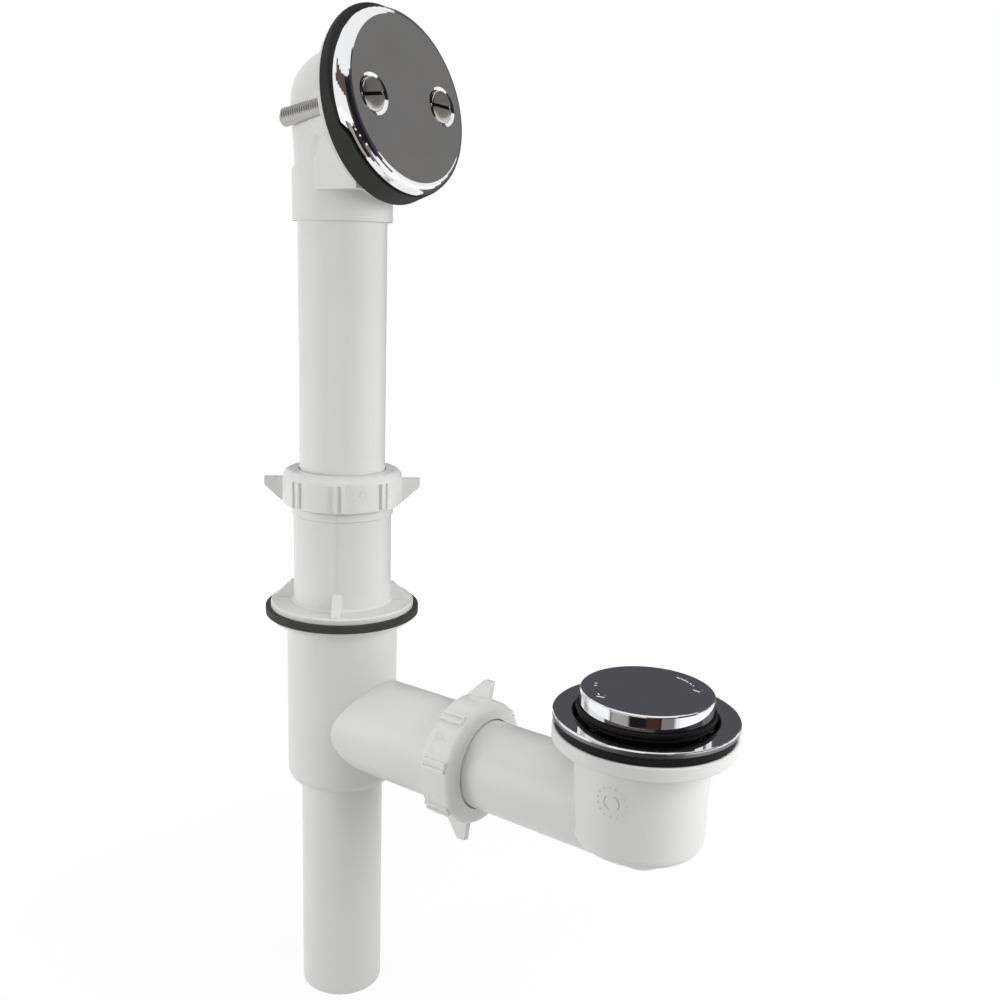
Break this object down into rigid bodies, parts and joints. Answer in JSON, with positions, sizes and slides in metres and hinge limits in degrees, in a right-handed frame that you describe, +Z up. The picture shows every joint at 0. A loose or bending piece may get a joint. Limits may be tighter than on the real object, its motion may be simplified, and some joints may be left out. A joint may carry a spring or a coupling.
{
  "type": "bath waste and overflow drain",
  "caption": "Plastic bath drain: tee with tailpiece, sliding overflow riser with chromed face plate, and sliding waste arm with twist stopper.",
  "frame": {"origin": "centre of the tailpiece's lower end, where the outlet slips into a trap", "axes": "+Z up along the tailpiece and the riser, +X from the tee towards the drain shoe, and the tailpiece's outlet faces -Z"},
  "size_m": [0.2266, 0.078, 0.4463],
  "materials": {
    "white_plastic": "moulded white plastic with a soft sheen",
    "washer_plastic": "dull translucent plastic",
    "black_rubber": "matt black rubber",
    "chrome": "bright chrome plate",
    "screw_steel": "plated steel",
    "brass": "turned brass"
  },
  "bodies": {
    "tee_body": {"waste_tee": "white_plastic", "body_washer": "black_rubber", "riser_receiver": "white_plastic", "riser_slip_nut": "white_plastic", "arm_slip_nut": "white_plastic"},
    "riser_seal": {"riser_slip_washer": "washer_plastic"},
    "overflow": {"overflow_riser": "white_plastic", "overflow_elbow": "white_plastic", "overflow_gasket": "black_rubber", "overflow_plate": "chrome", "plate_screw_left": "screw_steel", "plate_screw_right": "screw_steel"},
    "arm_seal": {"arm_slip_washer": "washer_plastic"},
    "shoe": {"waste_shoe": "white_plastic", "shoe_gasket": "black_rubber", "drain_flange": "chrome", "stopper_post": "brass"},
    "stopper_body": {"stopper_carrier": "washer_plastic", "stopper_seal": "black_rubber"},
    "stopper_top": {"stopper_cap": "chrome", "stopper_sleeve": "brass", "stopper_clip": "screw_steel"}
  },
  "joints": [
    {"name": "riser_turn", "type": "hinge", "parent": "tee_body", "child": "riser_seal", "pos_m": [0, 0, 0.25], "axis": [0, 0, 1], "continuous": true},
    {"name": "riser_height", "type": "slide", "parent": "riser_seal", "child": "overflow", "axis": [0, 0, 1], "range_m": [-0.04, 0.02]},
    {"name": "arm_turn", "type": "hinge", "parent": "tee_body", "child": "arm_seal", "pos_m": [0.078, 0, 0.1384], "axis": [1, 0, 0], "continuous": true},
    {"name": "arm_reach", "type": "slide", "parent": "arm_seal", "child": "shoe", "axis": [1, 0, 0], "range_m": [-0.018, 0.012]},
    {"name": "stopper_lift", "type": "slide", "parent": "shoe", "child": "stopper_body", "axis": [0, 0, 1], "range_m": [-0.0054, 0]},
    {"name": "stopper_turn", "type": "hinge", "parent": "stopper_body", "child": "stopper_top", "pos_m": [0.1562, 0, 0.19], "axis": [0, 0, 1], "range_deg": [-180, 0]}
  ],
  "couplings": [
    {"joint": "stopper_turn", "follows": "stopper_lift", "rad_per_m": 581.7}
  ]
}
